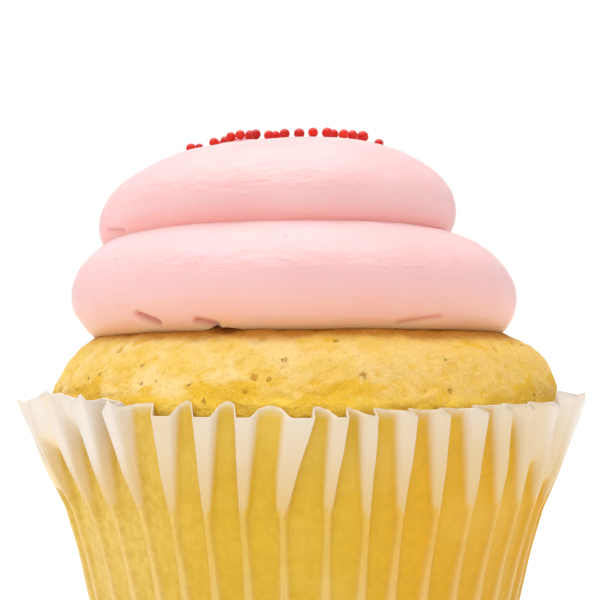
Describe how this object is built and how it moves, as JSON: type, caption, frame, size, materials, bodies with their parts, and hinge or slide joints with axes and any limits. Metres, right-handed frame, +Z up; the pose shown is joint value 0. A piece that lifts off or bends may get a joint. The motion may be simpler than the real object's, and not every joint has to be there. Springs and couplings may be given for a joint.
{
  "type": "cupcake",
  "caption": "Cupcake: domed sponge in a flared, pleated paper case, topped with a smooth piped swirl of pink icing and small round sprinkles.",
  "frame": {"origin": "middle of the paper case's flat base, on the surface it stands on", "axes": "+Z up, away from the base; -Y is the front shown in the picture, +X is to its right"},
  "size_m": [0.0687, 0.0657, 0.0634],
  "materials": {
    "greased_paper": "matt, translucent",
    "sponge": "soft baked crumb, slightly moist",
    "buttercream": "smooth, soft sheen",
    "sugar_beads": "hard sugar shell, glossy"
  },
  "bodies": {
    "root": {"paper_case": "greased_paper", "cake": "sponge", "icing": "buttercream"}
  },
  "joints": []
}
